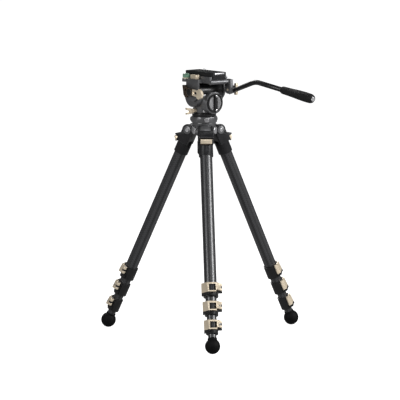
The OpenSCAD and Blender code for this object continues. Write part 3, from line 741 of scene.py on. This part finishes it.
knob_r = 16.0
nose_r = 7.3
outline = rounded([(0, 0), (12.5, 0), (knob_r, 4.5), (knob_r, knob_h - 3), (13, knob_h), (nose_r, knob_h),
                   (nose_r, nose_top), (0, nose_top)], 2.0, 5)
outline[0, 0] = outline[-1, 0] = 0
extra = np.stack([np.full(22, knob_r), np.linspace(7, knob_h - 6, 22)], -1)
split = int(np.argmax(outline[:, 1] > 7))
outline = np.concatenate([outline[:split], extra, outline[split:]])
handle_base = (np.array([0, HEAD[0][1], handle_low[2] * MM]), *np.eye(3))
points, faces = turned(outline, 120, flutes)
handle = finished("levelling_knob", placed(points, handle_base), faces, "level_handle", PLASTIC)
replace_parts(handle, "levelling_handle")
print("handle", round(nose_top, 1), "mm tall")

# %% [markdown]
# ## Counterbalance dial
# The dial is a disc with a bar raised across it. Its face is a height over the disc: a rim that
# rounds off, a shallow dish, and the bar as a smooth step of the distance from the middle line.

# %% Dial
DIAL_R = 22.5
dial_frame = axis_frame(HEAD, (DIAL_X, 0, DIAL[2]), (1, 0, 0))


def step(value, low, high):
    """Smooth step: 3t^2 - 2t^3 of the value between low and high."""
    t = np.clip((value - low) / (high - low), 0, 1)
    return t * t * (3 - 2 * t)


def dial_surface(rings=64, count=160):
    """Closed disc: back at 0, rim with 40 fine notches, face 3.6 mm up, dished 1.6 mm, bar 7.6 mm up."""
    r = np.concatenate([[0, 20, 21.8], np.full(4, DIAL_R), np.linspace(21.9, 0, rings)])
    z = np.concatenate([[0, 0, 0], [0.7, 1.4, 2.2, 2.8], np.full(rings, 3.6)])
    angle = np.linspace(0, 2 * math.pi, count, endpoint=False)
    rr, aa = np.meshgrid(r, angle, indexing="ij")
    zz = np.repeat(z[:, None], count, axis=1)
    rr = rr - 0.25 * (np.abs(rr - DIAL_R) < 0.1) * (0.5 + 0.5 * np.cos(40 * aa))
    x, y = rr * np.cos(aa), rr * np.sin(aa)
    front = np.arange(len(r))[:, None] >= 7
    dish = 1.6 * (1 - step(rr, 17.5, 20.5))
    bar = step(4.6 - np.abs(x), 0, 1.3) * step(20.4 - np.abs(y), 0, 2.0)
    raised = 3.6 - dish + bar * (4.0 + dish)
    zz = np.where(front, raised, zz)
    return np.stack([x, y, zz], -1), index_faces(len(r), count, True)


def painted_where(piece, base, paint, inside):
    """Gives the paint to the faces whose centre, in millimetres in the frame base, is inside(x, y, z)."""
    mesh = piece.data
    mesh.materials.append(paint)
    centres = np.empty(3 * len(mesh.polygons))
    mesh.polygons.foreach_get("center", centres)
    x, y, z = local(centres.reshape(-1, 3), base).T
    mesh.polygons.foreach_set("material_index", inside(x, y, z).astype(np.int32))


points, faces = dial_surface()
dial = finished("dial_face", placed(points, dial_frame), faces, "dial", PLASTIC)
# The dish beside the raised bar gets the light finish: a painted highlight of the bar's edges and the dish
painted_where(dial, dial_frame, ALLOY_AND_PAINTED_HIGHLIGHT,
              lambda x, y, z: (np.hypot(x, y) < 17.8) & (np.abs(x) > 5.0) & (z > 1))
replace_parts(dial, "balance_dial")
stub, stub_faces = turned([(0, -8.8), (4, -8.8), (4, 0.5), (0, 0.5)], 32)
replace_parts(finished("dial_spindle", placed(stub, dial_frame), stub_faces, "dial", STEEL),
            "balance_dial")
print("dial frame", dial_frame[1].round(2))

# %% [markdown]
# ## Socket screws
# Small bright screws catch the eye long before the casting does. Each is one surface: a chamfered
# head and a hexagonal pocket, whose radius at an angle is the flat's distance over the cosine of the
# angle from the nearest flat.

# %% Screws


def socket_screw(name, base, centre, direction, radius, height, body, paint=STEEL):
    """Chamfered head of that radius and height with a hexagonal pocket 0.45 of the radius wide."""
    flat = 0.45 * radius
    count = 48
    angle = np.linspace(0, 2 * math.pi, count, endpoint=False)
    hexagon = flat / np.cos((angle + math.pi / 6) % (math.pi / 3) - math.pi / 6)
    ones = np.ones(count)
    rings = [(0 * ones, 0), (radius * ones, 0), (radius * ones, 0.75 * height),
             (0.86 * radius * ones, height), (1.12 * hexagon, height), (hexagon, 0.9 * height),
             (hexagon, 0.35 * height), (0 * ones, 0.35 * height)]
    r = np.stack([ring for ring, _ in rings])
    z = np.array([level for _, level in rings])[:, None] + np.zeros(count)
    points = np.stack([r * np.cos(angle), r * np.sin(angle), z], -1)
    head = finished(name, placed(points, axis_frame(base, centre, direction)),
                    index_faces(len(rings), count, True), body, paint, smooth=False)
    return head


def lens_disc(radius, swell, depth=0.6, count=56):
    """Disc with a chamfered rim and a face that swells as swell (1 - (r / rim)^2)."""
    r = np.linspace(0.86 * radius, 0, 12)
    face = np.stack([r, depth + swell * (1 - (r / (0.86 * radius)) ** 2)], -1)
    return turned(np.concatenate([[(0, -0.4), (radius, -0.4), (radius, 0.4 * depth)], face]), count)


for leg in LEGS:
    for k, side in enumerate((1, -1)):
        pin = axis_frame(LEG[leg], (0, 0, 0), (0, side, 0))
        socket_screw(f"pin_socket_{leg}_{k}", pin, (0, 0, 19.6), (0, 0, 1),
                     4.2, 0.9, "apex", ALLOY_AND_PAINTED_HIGHLIGHT)
    for k in (1, 2, 3):
        pin_y = 14.5 - (k - 1) * 1.6 + 3 + 4.6
        lock_z = -LOCK_AT[k - 1]
        socket_screw(f"lever_screw_{k}_{leg}", LEG[leg], (5, pin_y, 15.45 + lock_z), (0, 0, 1), 2.9, 0.9,
                     f"lever_{k}_{leg}", STEEL)
        # The hinge screw of the lever shows on the sloping outer face of its ear
        socket_screw(f"ear_screw_{k}_{leg}", LEG[leg], (14, 17.8, 5 + lock_z), (0.75, 0.66, 0), 2.2, 0.6,
                     f"lever_{k}_{leg}", STEEL)
for k, side in enumerate((-1, 1)):
    points, faces = lens_disc(2.9, 0.5)
    spot = axis_frame(HEAD, (DIAL_X + DIAL_BAR_UP, 0, DIAL[2] + side * 16.5), (1, 0, 0))
    finished(f"dial_stud_{k}", placed(points, spot), faces, "dial", STEEL)
points, faces = lens_disc(3.0, 0.5)
skirt_spot = axis_frame(ROW, (-2.1, -25.8, 535.6), (-0.08, -1, 0))
finished("skirt_stud", placed(points, skirt_spot), faces, "head", STEEL)
points, faces = lens_disc(5.7, 0.3)
finished("bowl_button", placed(points, axis_frame(ROW, (3.8, -33.0, 515.5), (0.114, -1, 0))), faces, "apex",
         ALLOY_AND_PAINTED_HIGHLIGHT)
points, faces = lens_disc(8.2, 0.3, 0.3)
cap_spot = axis_frame(HEAD, (TILT[0], LEVER_FACE_Y, TILT[2]), (0, -1, 0))
finished("tilt_lever_cap", placed(points, cap_spot), faces, "tilt_lock", BLACK_METAL)
# A light bar across the plate's end is a painted highlight on the plate's end face
end_highlight_profile = rounded([(0, -15), (3.2, -15), (3.2, 15), (0, 15)], 1.6)
end_highlight_profile[0, 0] = end_highlight_profile[-1, 0] = 0
points, faces = turned(end_highlight_profile, 40)
finished("plate_end_highlight_bar", placed(points, axis_frame(HEAD, (53.9, 0, 626.0), (0, 1, 0))), faces, "plate",
         ALLOY_AND_PAINTED_HIGHLIGHT)
print("screws done")

# %% [markdown]
# ## Apex discs
# Between the legs the apex carries three round bosses, each opposite a leg. A light disc with a
# slightly swollen face closes each one.

# %% Apex discs


for leg in LEGS:
    away = unit((HEAD[0] - LEG[leg][0]) * (1, 1, 0))
    middle = HEAD[0] * (1, 1, 0) + (0, 0, LEG[leg][0][2] + 1 * MM) + away * 30 * MM
    points, faces = lens_disc(8.6, 1.6)
    across = np.cross((0, 0, 1), away)
    base = (middle, across, np.cross(away, across), away)
    finished("apex_disc_" + leg, placed(points, base), faces, "apex", ALLOY_AND_PAINTED_HIGHLIGHT)
print("apex discs done")

# %% [markdown]
# ## Plate pads and bubble level
# The plate carries two ribbed rubber strips that stop a camera from turning. A strip is a height over a
# rectangle: ribs as a rounded cosine along its length, falling to nothing at the border. The level
# is a green vial under a clear dome, set in a pod with a dark rim on a bronze ring.

# %% Pads


def ribbed_pad(name, x0, x1, y0, y1, z0):
    """Height over a rectangle: 0.3 mm, ribs of 0.25 mm every 2 mm on it, 0 at the border; closed below."""
    u, v = np.meshgrid(np.linspace(0, 1, 160), np.linspace(0, 1, 24), indexing="ij")
    x, y = x0 + (x1 - x0) * u, y0 + (y1 - y0) * v
    border = step(np.minimum(np.minimum(x - x0, x1 - x), np.minimum(y - y0, y1 - y)), 0, 0.5)
    rib = 0.5 + 0.5 * np.cos(2 * math.pi * (x - x0) / 2.0)
    top = np.stack([x, y, z0 + border * (0.3 + 0.25 * rib)], -1)
    low = np.stack([x, y, z0 - 0.3 + 0 * x], -1)
    faces = index_faces(160, 24, False)
    both = np.concatenate([faces, faces[:, ::-1] + top.shape[0] * top.shape[1]])
    return finished(name, placed(np.concatenate([top, low]), HEAD), both, "plate", RUBBER)


for word, side in (("left", -1), ("right", 1)):
    y0, y1 = sorted((side * 5.2, side * 19.2))
    ribbed_pad("plate_pad_" + word, -41.0, 53.0, y0, y1, PLATE_TOP)
print("pads done")

# %% Bubble level
GLASS = bpy.data.materials.new("glowing_level_glass")
GLASS.use_nodes = True
glass_tree = GLASS.node_tree
glass = glass_tree.nodes["Principled BSDF"]
glass_place = glass_tree.nodes.new("ShaderNodeTexCoord").outputs["Object"]
murk = noise_of(glass_tree, glass_place, 90.0)
glass_tree.links.new(mixed(glass_tree, murk, (0.09, 0.19, 0.13), (0.16, 0.28, 0.2)),
                     glass.inputs["Base Color"])
glass.inputs["Roughness"].default_value = 0.08
glass.inputs["Coat Weight"].default_value = 0.8
# Painted glow: the glass gives off a faint green light of its own
glass.inputs["Emission Strength"].default_value = 0.05
glass_tree.links.new(mixed(glass_tree, murk, (0.25, 0.6, 0.4), (0.4, 0.8, 0.6)),
                     glass.inputs["Emission Color"])

pod_low, pod_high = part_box("bubble_level")
pod_middle = (np.array(pod_low) + np.array(pod_high)) / 2
pod_base = (np.array([pod_middle[0], pod_middle[1], pod_low[2]]), *np.eye(3))
pod_tall = (pod_high[2] - pod_low[2]) / MM
DARK_GREEN = finish("level_rim_green", (0.03, 0.055, 0.036), (0.045, 0.075, 0.05), (0.12, 0.18, 0.14),
                    (0.12, 0.2), 0.0, 0.3, 0.05, gloss=0.7)
ring_top = 2.4
ring = rounded([(0, 0), (9, 0), (9, ring_top), (0, ring_top)], 0.5)
ring[0, 0] = ring[-1, 0] = 0
points, faces = turned(ring, 64)
seat = finished("level_seat", placed(points, pod_base), faces, "platform", BRONZE)
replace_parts(seat, "bubble_level")
rim = rounded([(0, ring_top), (8.7, ring_top), (8.7, pod_tall - 2.4), (8.1, pod_tall - 1.5),
               (7.2, pod_tall - 1.5), (7.2, pod_tall - 4), (0, pod_tall - 4)], 0.6)
rim[0, 0] = rim[-1, 0] = 0
points, faces = turned(rim, 64)
pod = finished("level_pod", placed(points, pod_base), faces, "platform", GLASS)
painted_where(pod, pod_base, DARK_GREEN, lambda x, y, z: z > pod_tall - 3.0)
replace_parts(pod, "bubble_level")
t = np.linspace(0, math.pi / 2, 16)
dome = np.stack([7.1 * np.cos(t), pod_tall - 3.8 + 3.8 * np.sin(t)], -1)
dome = np.concatenate([[(0, pod_tall - 5.5), (7.1, pod_tall - 5.5)], dome])
dome[-1, 0] = 0
points, faces = turned(dome, 64)
vial = finished("level_vial", placed(points, pod_base), faces, "platform", GLASS)
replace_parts(vial, "bubble_level")
print("level pod", round(pod_tall, 1), "mm tall")
